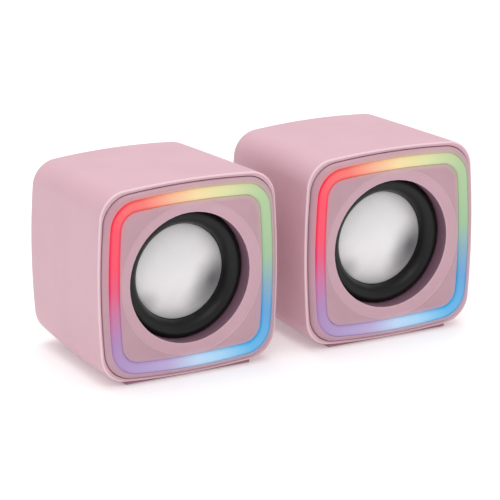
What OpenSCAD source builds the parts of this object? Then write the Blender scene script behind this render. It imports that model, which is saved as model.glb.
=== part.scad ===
// A pair of small powered desktop speakers with a lit ring around each driver.
// Millimetres. +Z is up and the fronts face -Y. The origin is on the floor, under the middle of the pair.
// The right speaker holds the amplifier and the controls. The left one is its satellite.
// Each speaker is drawn in its own place: X from its middle, Y from its front rim backwards, Z from the floor.

/* [Pair] */
// Distance between the centres of the two speakers
spacing = 91.6; // [84:0.2:160]

/* [Cabinet] */
// Width of the cabinet at its front
cabinet_w = 79.3; // [79.2:0.1:84]
// Depth of the cabinet from its front rim to its rear face
cabinet_d = 66.7; // [66:0.1:76]
// Height of the driver's axis above the floor
axis_z = 40; // [40:0.2:44]
// Height of the roof above the driver's axis, at the front
roof_h = 39.7; // [39.5:0.1:41]
// Depth of the belly below the driver's axis, at the front
belly_h = 39.4; // [39.2:0.05:39.4]
// How far each side comes in towards the rear
side_taper = 2.5; // [0:0.1:4]
// How far the roof comes down towards the rear
roof_taper = 2.5; // [0:0.1:4]
// How far the belly comes up towards the rear
belly_taper = 2.65; // [1:0.05:4]
// How fast the belly first falls behind the front edge, before it comes up
belly_fall = 1.9; // [0:0.1:1.9]
// Radius of the cabinet's long edges at the front
edge_r = 11.6; // [11:0.2:14]
// How much that radius grows smaller towards the rear
edge_r_taper = 0.8; // [0:0.1:2]
// Bulge of each side over its straight chord
bow = 1.1; // [0.6:0.05:1.4]
// Rounding around the front rim
rim_round = 1; // [0.4:0.1:1.1]
// Rounding around the rear face
rear_round = 4.4; // [3.5:0.1:4.6]
// Wall thickness of the cabinet
wall = 2.6; // [2:0.1:3]

/* [Front] */
// Half width of the cabinet's mouth
mouth = 38.45; // [38.2:0.05:38.5]
// Corner radius of the mouth
mouth_r = 12.3; // [11:0.1:14]
// Gap between the mouth and the bezel
groove = 0.3; // [0.2:0.05:0.6]
// How far the front panel stands in front of the rim
proud = 2.2; // [1.5:0.1:3]
// Half width of the light ring at its outer edge
ring_out = 35.9; // [35.5:0.1:36]
// Corner radius of that edge
ring_out_r = 11.4; // [9:0.1:13]
// Width of the light ring
ring_w = 4.3; // [3:0.1:4.5]
// Corner radius of the light ring's inner edge
ring_in_r = 7.8; // [6:0.1:9]
// Half width less half height of every front outline
squash = 0.2; // [0:0.05:0.4]
// Radius of the shallow dish in the front panel
dish_r = 30.8; // [28:0.1:31]
// Depth of that dish
dish_depth = 1.25; // [0.5:0.05:2]
// Radius of the opening in front of the driver
opening_r = 26.3; // [25:0.1:27]

/* [Driver] */
// Radius of the dust cap
cap_r = 19.2; // [17:0.1:20]
// Height of the dust cap's dome
cap_rise = 4.2; // [2:0.1:6]
// Depth of the dust cap's edge behind the rim
cap_edge_y = 9.4; // [9:0.1:10]
// How far the surround's half roll stands forward
roll_rise = 3.6; // [2:0.1:4]
// Outer radius of the voice coil's former
former_r = 7.9; // [7:0.1:9]
// Outer radius of the magnet
magnet_r = 20; // [17:0.5:24]
// Half width of the driver's square frame
frame_half = 30; // [29.5:0.1:31]

/* [Rear] */
// Half width of the rear panel
panel_half = 31.4; // [30:0.1:31.6]
// Depth of the rear panel's face below the cabinet's rear face
panel_inset = 0.6; // [0.3:0.1:1]
// Radius of the volume knob
knob_r = 8; // [6:0.1:9]
// How far the volume knob stands behind the cabinet
knob_out = 3; // [1:0.1:6]
// Radius of the light button
button_r = 3; // [2.5:0.1:3.5]
// Radius of the hole in a jack socket
jack_r = 1.8; // [1.7:0.05:1.9]

/* [Hidden] */
SIDES = ["left", "right"];
SHARED = ["shell", "foot_strips", "grip_pads", "rear_panel", "rear_screws", "front_bezel", "light_ring",
    "led_board", "leds", "baffle", "gasket", "basket", "surround", "cone", "dust_cap", "voice_coil",
    "spider", "top_plate", "magnet", "yoke", "terminal_strip", "driver_screws", "driver_leads",
    "link_socket"];
MAIN_ONLY = ["amp_board", "board_screws", "amp_chip", "heat_sink", "capacitors", "potentiometer",
    "knob_shaft", "volume_knob", "light_button", "button_switch", "audio_socket", "power_socket"];

// Points along one bowed side, and along one corner, of every rounded outline
SIDE_STEPS = 6;
CORNER_STEPS = 9;
$fn = 96;
FIT_GAP = 0.05;
CUT = 1;

// Front panel, from the front backwards
crown = 0.3;
front_y = -proud;
bezel_fillet = 2.2;
bezel_half = mouth - groove;
bezel_r = mouth_r - groove;
bezel_wall = 1.05;
shoulder_y = -0.45;
ring_skirt_w = 1.1;
ring_in = ring_out - ring_w;
led_h = 1.4;
board_t = 1;
flange_y = 3.75;
ledge_y = 6.25;
panel_skin = 2;
panel_gap = 0.15;
bore_wall = 2.1;
boss_r = 2.9;

// Screws
screw_r = 1.2;
screw_hole_r = screw_r + 0.3;
pilot_r = screw_r + FIT_GAP;
driver_screw_at = 23.3;
driver_screw_head_r = 2.6;
rear_screw_at = 26.5;
rear_screw_head_r = 2.3;

// Driver, from the front backwards
gasket_t = 0.5;
surround_t = 0.6;
land_r = 29.7;
frame_t = 1.1;
frame_y = ledge_y + gasket_t + surround_t;
frame_corner_r = 36.2;
cone_slope = 0.63;
cone_t = 0.5;
cone_edge_r = cap_r + 1.4;
roll_end_r = cap_r + 1.1;
spider_y = 19.6;
spider_t = 0.4;
spider_r = 18.5;
spider_waves = 3;
basket_foot_r = 21.5;
gap_y = 24;
top_plate_t = 4;
magnet_t = 8;
back_plate_t = 4;
coil_gap = 0.5;
pole_r = former_r - 0.3 - 0.45;
winding_t = 0.5;
terminal_y = frame_y + frame_t;
terminal_z = axis_z - 29;

// Rear, from the rear forwards
rear_z = axis_z + (roof_h - roof_taper - belly_h + belly_taper) / 2;
panel_t = 2.4;
panel_y = cabinet_d - panel_inset - panel_t;
panel_out_y = cabinet_d - panel_inset;
panel_r = 8;
panel_ledge = 2.7;
cavity_end_y = cabinet_d - 5.6;
post_r = 3.6;
post_length = 12;
knob_x = 0;
knob_z = axis_z + 9;
knob_cup_r = knob_r + 1.6;
knob_cup_y = panel_out_y - 3;
knob_end_y = cabinet_d + knob_out;
shaft_r = 2;
button_x = 19;
button_travel = 0.8;
button_out = 0.9;
socket_z = axis_z - 14;
audio_x = 0;
link_x = [0, 17];
power_x = -17;
jack_barrel_r = 3;
jack_depth = 14;
jack_out_y = panel_out_y + 0.3;
circuit_y = 46;
circuit_t = 1.6;
circuit_back_y = circuit_y + circuit_t;
board_screw_x = 22;
board_screw_z = axis_z + 18;

// Feet
foot_half = 27.5;
foot_top_z = 1.3;
rear_foot_half = 24;
rear_foot_top_z = 4;
grip_t = 0.2;
front_foot = [1.3, 10];
rear_foot = [50, 58];

// Middle of the pair's depth, from the rim
mid_y = (knob_end_y + front_y - crown) / 2;

// ---- Outlines ----

function arc(c, r, from, to) =
    [for (i = [0:CORNER_STEPS - 1]) let (a = from + (to - from) * i / CORNER_STEPS)
        [c[0] + r * cos(a), c[1] + r * sin(a)]];

// Rounded rectangle with sides that bulge by b, from half width w, half height h and corner radius r.
// Each side is a parabola, and each corner is an arc that leaves it without a kink.
function outline(w, h, r, b = bow) =
    let (p = atan(2 * b / (h - r)), q = atan(2 * b / (w - r)),
        cx = w - b - r * cos(p), cz = h - b - r * cos(q),
        lv = cz + r * sin(p), lh = cx + r * sin(q),
        steps = [for (i = [0:SIDE_STEPS - 1]) -1 + 2 * i / SIDE_STEPS])
    concat(
        [for (t = steps) [w - b * t * t, lv * t]], arc([cx, cz], r, p, 90 - q),
        [for (t = steps) [-lh * t, h - b * t * t]], arc([-cx, cz], r, 90 + q, 180 - p),
        [for (t = steps) [-w + b * t * t, -lv * t]], arc([-cx, -cz], r, 180 + p, 270 - q),
        [for (t = steps) [lh * t, -h + b * t * t]], arc([cx, -cz], r, 270 + q, 360 - p));

// One front outline, as high as it is wide but for the squash
function front_outline(w, r) = outline(w, w - squash, r, bow * w / mouth);

module front_shape(w, r) { translate([0, axis_z]) polygon(front_outline(w, r)); }

module front_frame(w, r, w_in, r_in) {
    difference() {
        front_shape(w, r);
        front_shape(w_in, r_in);
    }
}

// Extrudes a shape drawn in X and Z from depth y0 to depth y1
module slab(y0, y1) { translate([0, y1, 0]) rotate([90, 0, 0]) linear_extrude(height = y1 - y0) children(); }

// Spins a profile drawn in radius and depth around the driver's axis
module lathe() { translate([0, 0, axis_z]) rotate([-90, 0, 0]) rotate_extrude() children(); }

// Round bar along the depth
module bar(r, y0, y1, x = 0, z = axis_z) {
    translate([x, y0, z]) rotate([-90, 0, 0]) cylinder(r = r, h = y1 - y0);
}

// Block between two corners
module block(low, high) { translate(low) cube(high - low); }

// Copies to the four corners around a point at height z
module corners(at, z = axis_z) {
    for (x = [-at, at], up = [-at, at]) translate([x, 0, up + z - axis_z]) children();
}

// Solid skin over rings of points, each a list of [x, y, z], with flat ends
module loft(rings) {
    n = len(rings[0]);
    last = len(rings) - 1;
    polyhedron(
        points = [for (ring = rings) each ring],
        faces = concat(
            [[for (i = [n - 1:-1:0]) i]],
            [for (k = [0:last - 1]) for (i = [0:n - 1]) let (j = (i + 1) % n)
                each [[k * n + i, k * n + j, (k + 1) * n + i], [k * n + j, (k + 1) * n + j, (k + 1) * n + i]]],
            [[for (i = [0:n - 1]) last * n + i]]));
}

// ---- Cabinet ----

function side_at(t) = cabinet_w / 2 - side_taper * (1.17 * t - 0.17 * t * t);
function roof_at(t) = roof_h - roof_taper * (0.75 * t + 0.25 * t * t);
function belly_at(t) = belly_h + belly_fall * t - (belly_fall + belly_taper) * t * t;

// How far the rounded front and rear edges have come in at depth y
function round_in(y) =
    y < rim_round ? rim_round - sqrt(max(0, pow(rim_round, 2) - pow(rim_round - y, 2)))
    : y > cabinet_d - rear_round ? rear_round
        - sqrt(max(0, pow(rear_round, 2) - pow(y - cabinet_d + rear_round, 2)))
    : 0;

// The cabinet's outline at depth y, moved in by d
function cabinet_ring(y, d) =
    let (t = y / cabinet_d, roof = roof_at(t) - d, belly = belly_at(t) - d)
    [for (p = outline(side_at(t) - d, (roof + belly) / 2, edge_r - edge_r_taper * t - 0.7 * d))
        [p[0], y, p[1] + axis_z + (roof - belly) / 2]];

// Depths of the outlines: close together around the two rounded edges
rim_depths = [for (a = [0:30:90]) rim_round * (1 - cos(a))];
side_depths = [for (i = [1:7]) rim_round + (cabinet_d - rear_round - rim_round) * i / 7];
rear_depths = [for (a = [15:15:90]) cabinet_d - rear_round * (1 - sin(a))];
outer_depths = concat(rim_depths, side_depths, rear_depths);

module cabinet_solid() { loft([for (y = outer_depths) cabinet_ring(y, round_in(y))]); }

module cabinet_cavity() {
    steps = 6;
    loft([for (i = [0:steps]) cabinet_ring(ledge_y + (cavity_end_y - ledge_y) * i / steps, wall)]);
}

module panel_shape(w) { translate([0, rear_z]) polygon(outline(w, w - squash, panel_r, 0.6)); }

module foot_blocks(low, front_top, rear_top, inset = 0) {
    block([-foot_half + inset, front_foot[0] + inset, low], [foot_half - inset, front_foot[1] - inset, front_top]);
    block([-rear_foot_half + inset, rear_foot[0] + inset, low],
        [rear_foot_half - inset, rear_foot[1] - inset, rear_top]);
}

module rear_post() {
    bar(post_r, panel_y - post_length, panel_y, 0, axis_z);
}

module shell() {
    color("#dcb6c1") difference() {
        union() {
            difference() {
                cabinet_solid();
                cabinet_cavity();
                slab(cavity_end_y - CUT, panel_y + CUT) panel_shape(panel_half - panel_ledge);
            }
            corners(rear_screw_at, rear_z) rear_post();
        }
        slab(-CUT, ledge_y) front_shape(mouth, mouth_r);
        slab(panel_y, cabinet_d + CUT) panel_shape(panel_half + 0.2);
        foot_blocks(-CUT, foot_top_z, rear_foot_top_z);
        corners(rear_screw_at, rear_z) bar(pilot_r, panel_y - post_length + 1, panel_y + CUT);
    }
}

module foot_strips() { color("#cfa6b3") foot_blocks(grip_t, foot_top_z, rear_foot_top_z); }

module grip_pads() { color("#4a3a40") foot_blocks(0, grip_t, grip_t, 0.8); }

// ---- Front ----

// The bezel's outline at depth y, where its rounded front edge has turned by angle a from its side
function bezel_ring(a, y) =
    let (d = bezel_fillet * (1 - cos(a)))
    [for (p = front_outline(bezel_half - d, bezel_r - d * 0.5)) [p[0], y, p[1] + axis_z]];

module front_bezel() {
    color("#cda7b2") difference() {
        loft(concat([for (a = [90:-15:0]) bezel_ring(a, front_y + bezel_fillet * (1 - sin(a)))],
            [bezel_ring(0, flange_y)]));
        slab(front_y - CUT, flange_y + CUT) front_shape(ring_out + panel_gap, ring_out_r + panel_gap);
        slab(shoulder_y, flange_y + CUT) front_shape(bezel_half - bezel_wall, bezel_r - bezel_wall);
    }
}

module light_ring() {
    skirt_out = bezel_half - bezel_wall - panel_gap;
    skirt_r = bezel_r - bezel_wall - panel_gap;
    color("#f2e6ee") union() {
        slab(front_y, 0.4) front_frame(ring_out, ring_out_r, ring_in, ring_in_r);
        slab(front_y - crown, front_y) front_frame(ring_out - 0.9, ring_out_r - 0.9, ring_in + 0.9, ring_in_r + 0.9);
        slab(shoulder_y + FIT_GAP, flange_y - board_t)
            front_frame(skirt_out, skirt_r, skirt_out - ring_skirt_w, skirt_r - ring_skirt_w);
    }
}

module led_board() {
    edge = bezel_half - bezel_wall - panel_gap;
    color("#e8e8e2") slab(flange_y - board_t, flange_y)
        front_frame(edge, bezel_r - bezel_wall - panel_gap, ring_in + 0.1, ring_in_r);
}

module leds() {
    at = ring_in + ring_w / 2 - 0.3;
    top = flange_y - board_t;
    size = [3.5, led_h, 2.8];
    color("#fff6c8") for (turn = [0:3], along = [-21, 0, 21])
        translate([0, 0, axis_z]) rotate([0, 90 * turn, 0])
            block([along - size[0] / 2, top - size[1], at - size[2] / 2],
                [along + size[0] / 2, top, at + size[2] / 2]);
}

module baffle() {
    panel = ring_in - panel_gap;
    panel_corner = ring_in_r - panel_gap;
    dish_y = front_y + dish_depth;
    color("#c39fab") difference() {
        union() {
            slab(front_y, flange_y) front_shape(panel, panel_corner);
            slab(flange_y, ledge_y) front_shape(bezel_half, bezel_r);
        }
        // Shallow dish, and the bore behind it
        along_axis(front_y - 0.001) cylinder(r1 = dish_r, r2 = opening_r, h = dish_depth + 0.001);
        bar(opening_r, dish_y - 0.001, ledge_y + CUT);
        // Hollow corners, open to the rear, around the four screw bosses
        slab(front_y + panel_skin, ledge_y + CUT) difference() {
            front_shape(panel - 1.5, panel_corner - 1.5);
            translate([0, axis_z]) circle(r = opening_r + bore_wall);
            for (x = [-1, 1], z = [-1, 1])
                translate([x * driver_screw_at, axis_z + z * driver_screw_at]) circle(r = boss_r);
        }
        corners(driver_screw_at) bar(pilot_r, front_y + panel_skin + 0.5, ledge_y + CUT);
    }
}

// ---- Driver ----

module along_axis(y) { translate([0, y, axis_z]) rotate([-90, 0, 0]) children(); }

module frame_plate() {
    translate([0, axis_z]) intersection() {
        circle(r = frame_corner_r);
        square(2 * frame_half, center = true);
    }
}

module screw_holes(y0, y1) { corners(driver_screw_at) bar(screw_hole_r, y0, y1); }

module gasket() {
    color("#2b2626") lathe() polygon([[opening_r, ledge_y], [land_r, ledge_y],
        [land_r, ledge_y + gasket_t], [opening_r, ledge_y + gasket_t]]);
}

// Pressed steel frame: a square plate, a tapering cup with four windows, and a floor on the top plate
module basket() {
    plate_back = frame_y + frame_t;
    cup_r = 27;
    skin = 1;
    step_y = spider_y + spider_t;
    floor_r = [12, 16];
    color("#8d9094") difference() {
        union() {
            slab(frame_y, plate_back) difference() {
                frame_plate();
                translate([0, axis_z]) circle(r = cup_r);
            }
            slab(ledge_y, frame_y) difference() {
                frame_plate();
                translate([0, axis_z]) circle(r = land_r + 0.1);
            }
            lathe() polygon([[cup_r, frame_y], [cup_r, plate_back], [basket_foot_r - skin, step_y],
                [floor_r[1] + 1, step_y], [floor_r[1], gap_y - skin], [floor_r[0], gap_y - skin],
                [floor_r[0], gap_y], [floor_r[1] + skin, gap_y], [floor_r[1] + 1 + skin, step_y + skin],
                [basket_foot_r, step_y + skin], [cup_r + skin, plate_back], [cup_r + skin, frame_y]]);
        }
        for (turn = [45, 135]) translate([0, 0, axis_z]) rotate([0, turn, 0])
            block([-8, plate_back + 2, -40], [8, spider_y - 1.5, 40]);
        screw_holes(ledge_y - CUT, plate_back + CUT);
    }
}

// Depth of the cone's front face at radius r
function cone_y(r) = cap_edge_y + cone_slope * (cap_r - r);

// Half roll of rubber with a flat outer land and an inner lip on the cone
module surround() {
    outer_y = ledge_y + gasket_t;
    inner_y = cone_y(roll_end_r) - surround_t;
    mid_r = (opening_r + roll_end_r) / 2;
    half = (opening_r - roll_end_r) / 2;
    steps = 16;
    front = [for (i = [0:steps]) let (a = 180 * i / steps, s = (1 - cos(a)) / 2)
        [mid_r + half * cos(a), outer_y + (inner_y - outer_y) * s - roll_rise * sin(a)]];
    back = [for (i = [steps:-1:0]) let (a = 180 * i / steps, s = (1 - cos(a)) / 2)
        [mid_r + (half - surround_t) * cos(a),
            outer_y + surround_t + (inner_y - outer_y) * s - (roll_rise - surround_t) * sin(a)]];
    color("#1d1c1e") lathe() polygon(concat([[land_r, outer_y]], front,
        [[cap_r + 0.1, cone_y(cap_r + 0.1) - surround_t], [cap_r + 0.1, cone_y(cap_r + 0.1)],
            [cone_edge_r, cone_y(cone_edge_r)]], [for (p = back) if (p[0] > cone_edge_r) p],
        [[land_r, outer_y + surround_t]]));
}

module cone() {
    color("#3a3638") lathe() polygon([[cone_edge_r, cone_y(cone_edge_r)], [former_r, cone_y(former_r)],
        [former_r, cone_y(former_r) + cone_t], [cone_edge_r, cone_y(cone_edge_r) + cone_t]]);
}

module dust_cap() {
    ball = (pow(cap_r, 2) + pow(cap_rise, 2)) / (2 * cap_rise);
    reach = asin(cap_r / ball);
    skin = 0.5;
    steps = 24;
    top = [for (i = [0:steps]) let (a = reach * i / steps)
        [ball * sin(a), cap_edge_y - cap_rise + ball * (1 - cos(a)) - skin]];
    under = [for (i = [steps:-1:0]) top[i] + [0, skin]];
    color("#c9c9cb") lathe() polygon(concat(top, under));
}

module voice_coil() {
    former_t = 0.3;
    former_y = [14.5, 28.5];
    winding_y = [23, 27.5];
    color("#b87333") lathe() polygon([[former_r - former_t, former_y[0]], [former_r, former_y[0]],
        [former_r, winding_y[0]], [former_r + winding_t, winding_y[0]], [former_r + winding_t, winding_y[1]],
        [former_r, winding_y[1]], [former_r, former_y[1]], [former_r - former_t, former_y[1]]]);
}

// Corrugated cloth disc that centres the voice coil
module spider() {
    steps = 36;
    edge = spider_r - 1.5;
    wave = [for (i = [0:steps]) let (s = i / steps)
        [former_r + (edge - former_r) * s, spider_y - 0.8 * sin(360 * spider_waves * s)]];
    color("#c8a25a") lathe() polygon(concat(wave, [[spider_r, spider_y], [spider_r, spider_y + spider_t]],
        [for (i = [steps:-1:0]) wave[i] + [0, spider_t]]));
}

module ring_plate(r_in, r_out, y0, y1) {
    difference() {
        bar(r_out, y0, y1);
        bar(r_in, y0 - CUT, y1 + CUT);
    }
}

module top_plate() {
    color("#a7a9ac") ring_plate(former_r + winding_t + coil_gap, 17, gap_y, gap_y + top_plate_t);
}

module magnet() {
    color("#35353a") ring_plate(11, magnet_r, gap_y + top_plate_t, gap_y + top_plate_t + magnet_t);
}

module yoke() {
    back = gap_y + top_plate_t + magnet_t;
    color("#a7a9ac") difference() {
        union() {
            bar(magnet_r - 1.5, back, back + back_plate_t);
            bar(pole_r, gap_y, back + 0.5);
        }
        bar(1.5, gap_y - CUT, back + back_plate_t + CUT);
    }
}

module terminal_strip() {
    tag = [1.4, 5, 0.5];
    color("#b08a4a") union() {
        block([-6, terminal_y, terminal_z - 0.6], [6, terminal_y + 6, terminal_z + 0.6]);
        for (x = [-3.5, 3.5])
            block([x - tag[0], terminal_y + 6, terminal_z - tag[2] / 2],
                [x + tag[0], terminal_y + 6 + tag[1], terminal_z + tag[2] / 2]);
    }
}

module driver_screws() {
    seat = frame_y + frame_t;
    head_t = 1.7;
    color("#cfd1d4") corners(driver_screw_at) difference() {
        union() {
            bar(screw_r, front_y + panel_skin + 1, seat + 0.5);
            bar(driver_screw_head_r, seat, seat + head_t);
        }
        cross_recess(seat + head_t, 1);
    }
}

// Cross recess, cut forwards from depth y
module cross_recess(y, depth) {
    arm = 1.3;
    half_t = 0.28;
    block([-arm, y - depth, axis_z - half_t], [arm, y + CUT, axis_z + half_t]);
    block([-half_t, y - depth, axis_z - arm], [half_t, y + CUT, axis_z + arm]);
}

// Insulated wire through a list of points
module wire(points, r) {
    for (i = [0:len(points) - 2]) {
        d = points[i + 1] - points[i];
        translate(points[i]) rotate([0, acos(d[2] / norm(d)), atan2(d[1], d[0])]) cylinder(r = r, h = norm(d), $fn = 24);
        if (i > 0) translate(points[i]) sphere(r = r, $fn = 24);
    }
}

// Two wires from the driver's tags: to the amplifier board, or to the satellite's socket
module driver_leads(side) {
    start_y = terminal_y + 11;
    color("#b3262b") for (x = [-3.5, 3.5])
        if (side == "right") wire([[x, start_y, terminal_z], [x, circuit_y, terminal_z]], 0.6);
        else wire([[x, start_y, terminal_z], [x, 36, terminal_z], [x * 0.6, circuit_back_y - 0.5, socket_z]], 0.6);
}

// ---- Rear ----

module jack_hole(x) { bar(jack_barrel_r + 0.1, panel_y - 4, cabinet_d + CUT, x, socket_z); }

module rear_panel(side) {
    main = side == "right";
    color("#caa1ae") difference() {
        union() {
            slab(panel_y, panel_out_y) panel_shape(panel_half);
            if (main) {
                bar(knob_cup_r + 1.8, knob_cup_y - 1.8, panel_y + 0.5, knob_x, knob_z);
                for (x = [-board_screw_x, board_screw_x])
                    bar(3, circuit_back_y, panel_y + 0.5, x, board_screw_z);
            }
        }
        corners(rear_screw_at, rear_z) {
            bar(screw_hole_r, panel_y - CUT, cabinet_d);
            bar(rear_screw_head_r + 0.2, panel_out_y - 1.3, cabinet_d);
        }
        jack_hole(link_x[main ? 1 : 0]);
        if (main) {
            jack_hole(audio_x);
            slab(panel_y - CUT, cabinet_d) translate([power_x, socket_z]) slot_shape(9.8, 4);
            bar(knob_cup_r, knob_cup_y, cabinet_d, knob_x, knob_z);
            bar(shaft_r + 0.4, knob_cup_y - 3, cabinet_d, knob_x, knob_z);
            bar(button_r + 0.2, panel_y - CUT, cabinet_d, button_x, knob_z);
            for (x = [-board_screw_x, board_screw_x])
                bar(pilot_r, circuit_back_y - CUT, circuit_back_y + 6, x, board_screw_z);
        }
    }
}

module slot_shape(w, h) {
    square([w - h, h], center = true);
    for (x = [-1, 1]) translate([x * (w - h) / 2, 0]) circle(r = h / 2);
}

module rear_screws() {
    seat = panel_out_y - 1.3;
    color("#5c5a5e") corners(rear_screw_at, rear_z) difference() {
        union() {
            bar(screw_r, panel_y - 8, seat + 0.5);
            bar(rear_screw_head_r, seat, seat + 1.2);
        }
        cross_recess(seat + 1.2, 0.8);
    }
}

// Round jack socket with a square body behind the panel
module jack(x) {
    body = 4;
    difference() {
        union() {
            bar(jack_barrel_r, panel_y - 0.5, jack_out_y, x, socket_z);
            block([x - body, circuit_back_y, socket_z - body], [x + body, panel_y, socket_z + body]);
        }
        bar(jack_r, jack_out_y - jack_depth, jack_out_y + CUT, x, socket_z);
    }
}

module link_socket(side) { color("#7fb069") jack(link_x[side == "right" ? 1 : 0]); }

module audio_socket() { color("#8fa8c8") jack(audio_x); }

module power_socket() {
    out = 9.4;
    high = 3.6;
    shell_t = 0.35;
    color("#b9bbbf") union() {
        slab(panel_y - 6, panel_out_y) translate([power_x, socket_z]) difference() {
            slot_shape(out, high);
            slot_shape(out - 2 * shell_t, high - 2 * shell_t);
        }
        slab(panel_y - 6.5, panel_out_y - 1) translate([power_x, socket_z]) square([6.4, 0.7], center = true);
        block([power_x - out / 2, circuit_back_y, socket_z - 2.4], [power_x + out / 2, panel_y - 6, socket_z + 2.4]);
    }
}

module amp_board() {
    color("#2e6b3f") difference() {
        block([-25, circuit_y, axis_z - 30.5], [25, circuit_back_y, axis_z + 22]);
        for (x = [-board_screw_x, board_screw_x])
            bar(screw_hole_r, circuit_y - CUT, circuit_back_y + CUT, x, board_screw_z);
    }
}

module board_screws() {
    color("#cfd1d4") for (x = [-board_screw_x, board_screw_x]) union() {
        bar(screw_r, circuit_y - 0.5, circuit_back_y + 5, x, board_screw_z);
        bar(2.2, circuit_y - 1.5, circuit_y, x, board_screw_z);
    }
}

module amp_chip() {
    color("#26262a") block([-13, circuit_y - 1.6, axis_z + 2], [-3, circuit_y, axis_z + 12]);
}

// Aluminium block with upright fins, on the amplifier chip
module heat_sink() {
    base_y = circuit_y - 1.6;
    color("#b4b7bb") union() {
        block([-15, base_y - 1.2, axis_z], [-1, base_y, axis_z + 14]);
        for (i = [0:5]) block([-15 + i * 2.6, base_y - 4, axis_z], [-14 + i * 2.6, base_y - 1.2, axis_z + 14]);
    }
}

module capacitors() {
    color("#3b3f58") for (p = [[8, 14, 4], [18, 9, 3], [18, -4, 3]])
        bar(p[2], circuit_y - 5.5, circuit_y, p[0], axis_z + p[1]);
}

module potentiometer() {
    body = 5;
    color("#6f7479") difference() {
        union() {
            block([knob_x - body, circuit_back_y, knob_z - body], [knob_x + body, circuit_back_y + 7, knob_z + body]);
            bar(3.4, circuit_back_y + 6.5, knob_cup_y - 1.8, knob_x, knob_z);
        }
        bar(shaft_r + FIT_GAP, circuit_back_y + 2, knob_cup_y, knob_x, knob_z);
    }
}

module knob_shaft() {
    color("#d5d7da") bar(shaft_r, circuit_back_y + 2.5, knob_end_y - 2, knob_x, knob_z);
}

// Knob with a finely grooved edge and a pointer line on its face
module volume_knob() {
    ribs = 36;
    color("#b98f9d") difference() {
        bar(knob_r, knob_cup_y + 0.4, knob_end_y, knob_x, knob_z);
        bar(shaft_r + 0.02, knob_cup_y, knob_end_y - 2, knob_x, knob_z);
        for (i = [0:ribs - 1]) translate([knob_x, 0, knob_z]) rotate([0, i * 360 / ribs, 0])
            block([-0.2, knob_cup_y + 1.5, knob_r - 0.3], [0.2, knob_end_y - 0.8, knob_r + CUT]);
        block([knob_x - 0.4, knob_end_y - 0.4, knob_z + 3], [knob_x + 0.4, knob_end_y + CUT, knob_z + knob_r - 1]);
    }
}

// Push button with a retaining flange and a plunger that reaches into its switch
module light_button() {
    color("#e9dfe3") union() {
        bar(button_r, panel_y - 1, panel_out_y + button_out, button_x, knob_z);
        bar(button_r + 0.9, panel_y - 1.2, panel_y - 0.2, button_x, knob_z);
        bar(1.7, circuit_back_y + 3, panel_y - 1, button_x, knob_z);
    }
}

module button_switch() {
    color("#2c2c30") difference() {
        block([button_x - 3, circuit_back_y, knob_z - 3], [button_x + 3, circuit_back_y + 5, knob_z + 3]);
        bar(1.8, circuit_back_y + 3 - button_travel - 0.2, circuit_back_y + 5 + CUT, button_x, knob_z);
    }
}

// ---- Assembly ----

module place(side) {
    translate([(side == "left" ? -1 : 1) * spacing / 2, -mid_y, 0]) children();
}

for (side = SIDES) {
    place(side) shell();
    place(side) foot_strips();
    place(side) grip_pads();
    place(side) rear_panel(side);
    place(side) rear_screws();
    place(side) front_bezel();
    place(side) light_ring();
    place(side) led_board();
    place(side) leds();
    place(side) baffle();
    place(side) gasket();
    place(side) basket();
    place(side) surround();
    place(side) cone();
    place(side) dust_cap();
    place(side) voice_coil();
    place(side) spider();
    place(side) top_plate();
    place(side) magnet();
    place(side) yoke();
    place(side) terminal_strip();
    place(side) driver_screws();
    place(side) driver_leads(side);
    place(side) link_socket(side);
}
place("right") amp_board();
place("right") board_screws();
place("right") amp_chip();
place("right") heat_sink();
place("right") capacitors();
place("right") potentiometer();
place("right") knob_shaft();
place("right") volume_knob();
place("right") light_button();
place("right") button_switch();
place("right") audio_socket();
place("right") power_socket();
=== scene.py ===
"""Visual model of a pair of small lit desktop speakers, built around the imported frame.

Every piece is modelled in millimetres about its own speaker's driver axis, with X to the right,
Y backwards from the cabinet's front rim and Z up, and is then set down in the frame in metres.
"""

import logging
import math
from dataclasses import dataclass, replace
from enum import Enum
from functools import cached_property
from typing import Any, Iterable, Sequence

import bmesh
import bpy
from mathutils import Matrix, Vector


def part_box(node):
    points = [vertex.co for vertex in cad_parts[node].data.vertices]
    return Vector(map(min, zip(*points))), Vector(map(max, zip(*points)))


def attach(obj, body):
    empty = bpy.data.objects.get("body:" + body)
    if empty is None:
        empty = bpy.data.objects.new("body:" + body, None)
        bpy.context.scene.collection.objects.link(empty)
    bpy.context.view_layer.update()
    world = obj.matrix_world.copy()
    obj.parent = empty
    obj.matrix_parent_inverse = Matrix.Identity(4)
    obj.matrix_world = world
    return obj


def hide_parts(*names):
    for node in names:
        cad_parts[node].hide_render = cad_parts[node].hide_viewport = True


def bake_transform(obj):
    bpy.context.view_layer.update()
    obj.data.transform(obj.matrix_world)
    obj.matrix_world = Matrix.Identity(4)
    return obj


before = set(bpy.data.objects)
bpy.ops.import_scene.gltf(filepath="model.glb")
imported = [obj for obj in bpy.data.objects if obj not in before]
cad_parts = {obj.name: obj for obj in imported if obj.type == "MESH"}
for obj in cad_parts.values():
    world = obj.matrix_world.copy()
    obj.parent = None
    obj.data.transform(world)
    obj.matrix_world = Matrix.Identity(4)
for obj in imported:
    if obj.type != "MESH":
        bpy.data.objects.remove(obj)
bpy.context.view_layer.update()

LOG = logging.getLogger("speakers")
MM = 0.001
# Millimetres from the lit edge at which none of its painted light is left
FAR = 9.0
# How far apart in millimetres the slow changes in a surface's colour are
DRIFT_MM = 18.0
# The angle in degrees above which a copied CAD edge is rounded and stays sharp
CREASE = 32.0
Point = tuple[float, float]


# ---------------------------------------------------------------- helpers


class Side(Enum):
    """Which speaker of the pair, as a listener sees them."""

    LEFT = "left"
    RIGHT = "right"


BODY_OF = {Side.LEFT: "satellite_speaker", Side.RIGHT: "main_speaker"}


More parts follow.
